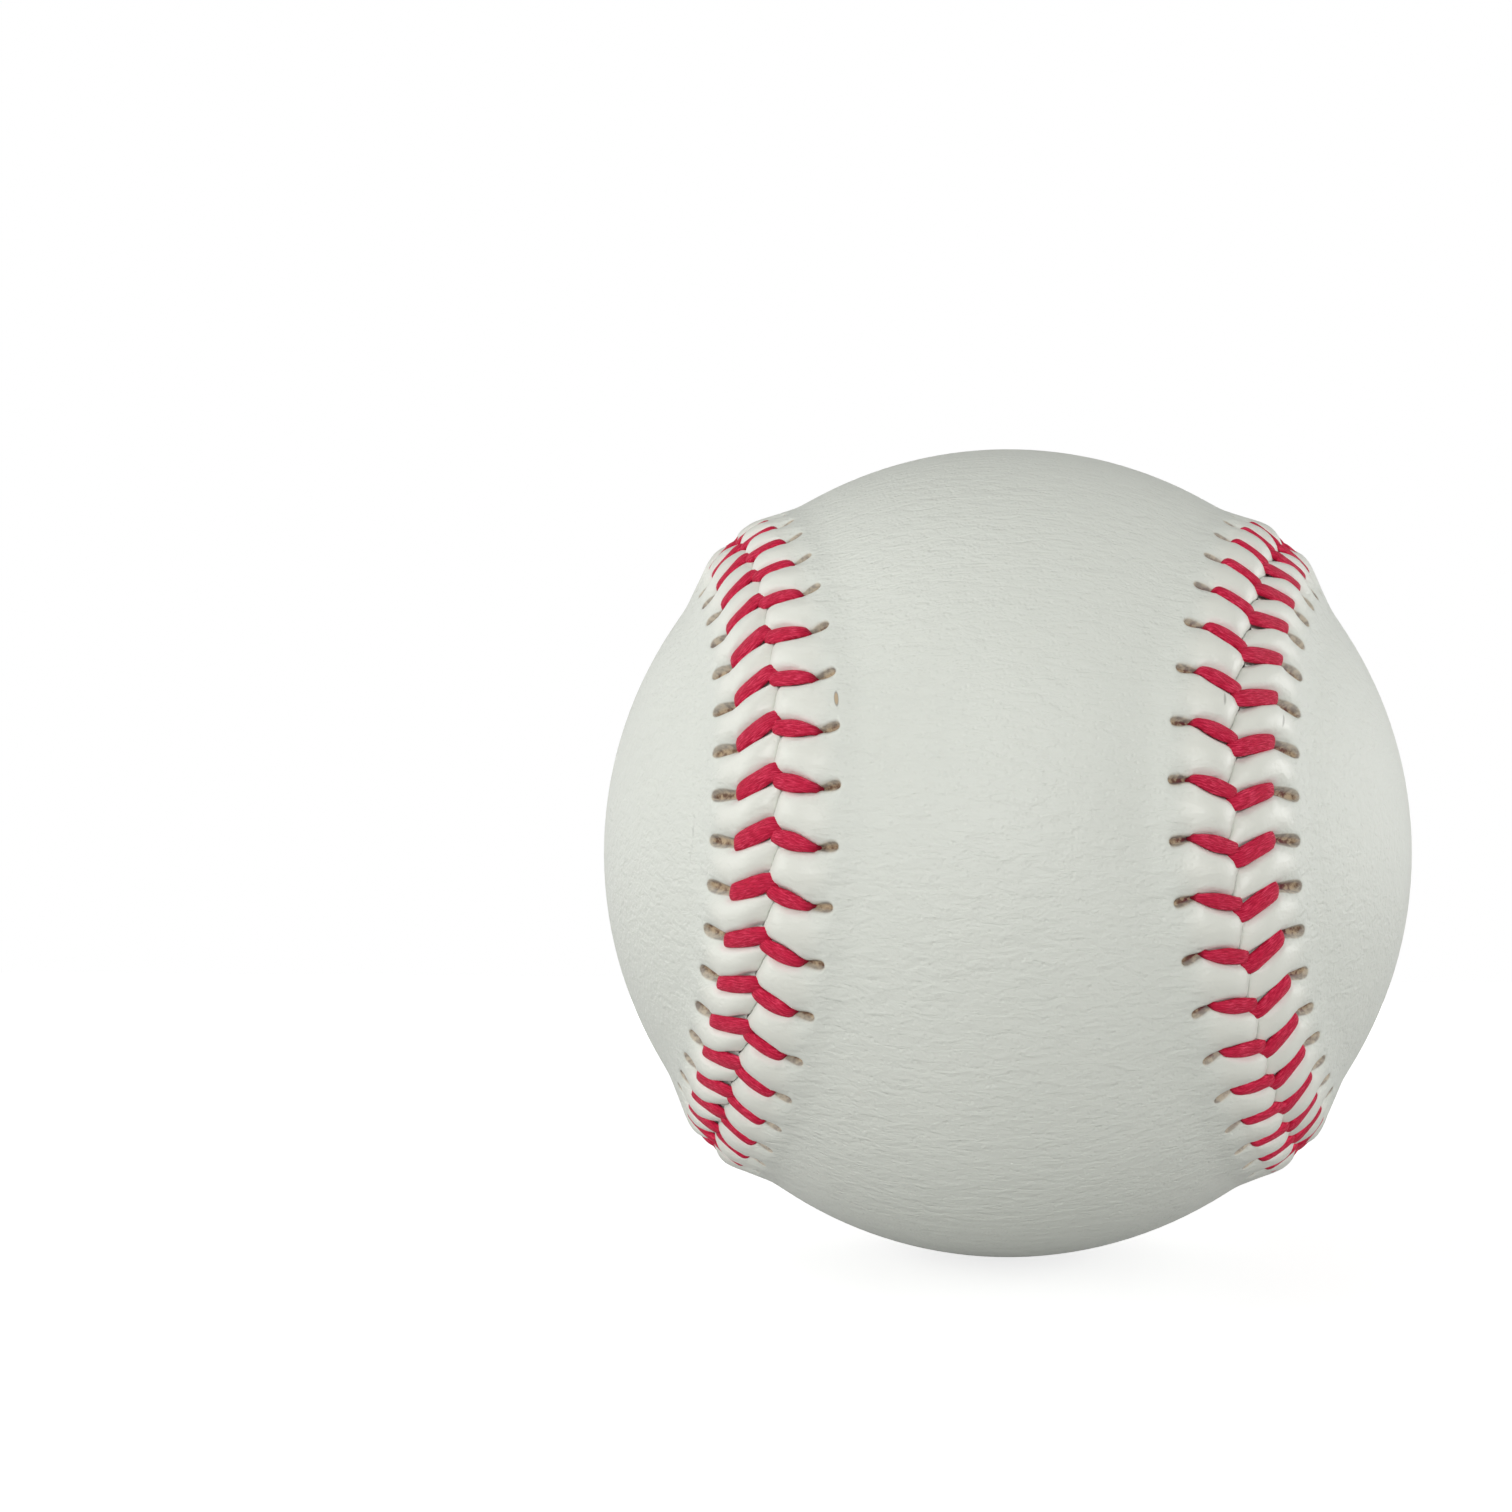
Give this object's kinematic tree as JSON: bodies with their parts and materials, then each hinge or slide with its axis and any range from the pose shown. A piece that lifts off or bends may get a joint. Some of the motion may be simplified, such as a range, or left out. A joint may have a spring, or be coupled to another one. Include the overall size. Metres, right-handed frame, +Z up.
{
  "type": "baseball",
  "caption": "Hand-stitched ball of two figure-eight leather panels laced with red thread over wound yarn and a rubber-cased cork core, for throwing, batting and catching.",
  "frame": {"origin": "centre of the ball", "axes": "-Y out through the middle of panel A's waist, which faces the camera in the picture; +Y out through the middle of panel B's waist; panel A's lobes at +Z and -Z, panel B's lobes at +X and -X; +Z up"},
  "size_m": [0.0734, 0.0731, 0.0734],
  "materials": {
    "cork": "ground cork and rubber, dry and matte",
    "black_rubber": "moulded rubber, satin",
    "red_rubber": "moulded rubber, satin",
    "grey_wool": "wound four-ply and three-ply wool yarn, matte",
    "white_wool": "wound three-ply wool yarn, matte",
    "finishing_yarn": "fine wound polyester and cotton yarn, matte",
    "leather": "alum-tanned white cowhide, fine pebbled grain, satin",
    "thread": "waxed red cotton thread, slight sheen"
  },
  "bodies": {
    "root": {"cork_core": "cork", "black_shell_lower": "black_rubber", "black_shell_upper": "black_rubber", "rubber_washer": "red_rubber", "red_shell_lower": "red_rubber", "red_shell_upper": "red_rubber", "grey_wool_inner": "grey_wool", "white_wool": "white_wool", "grey_wool_outer": "grey_wool", "finishing_yarn": "finishing_yarn", "cover_panel_a": "leather", "cover_panel_b": "leather", "seam_thread": "thread"}
  },
  "joints": []
}
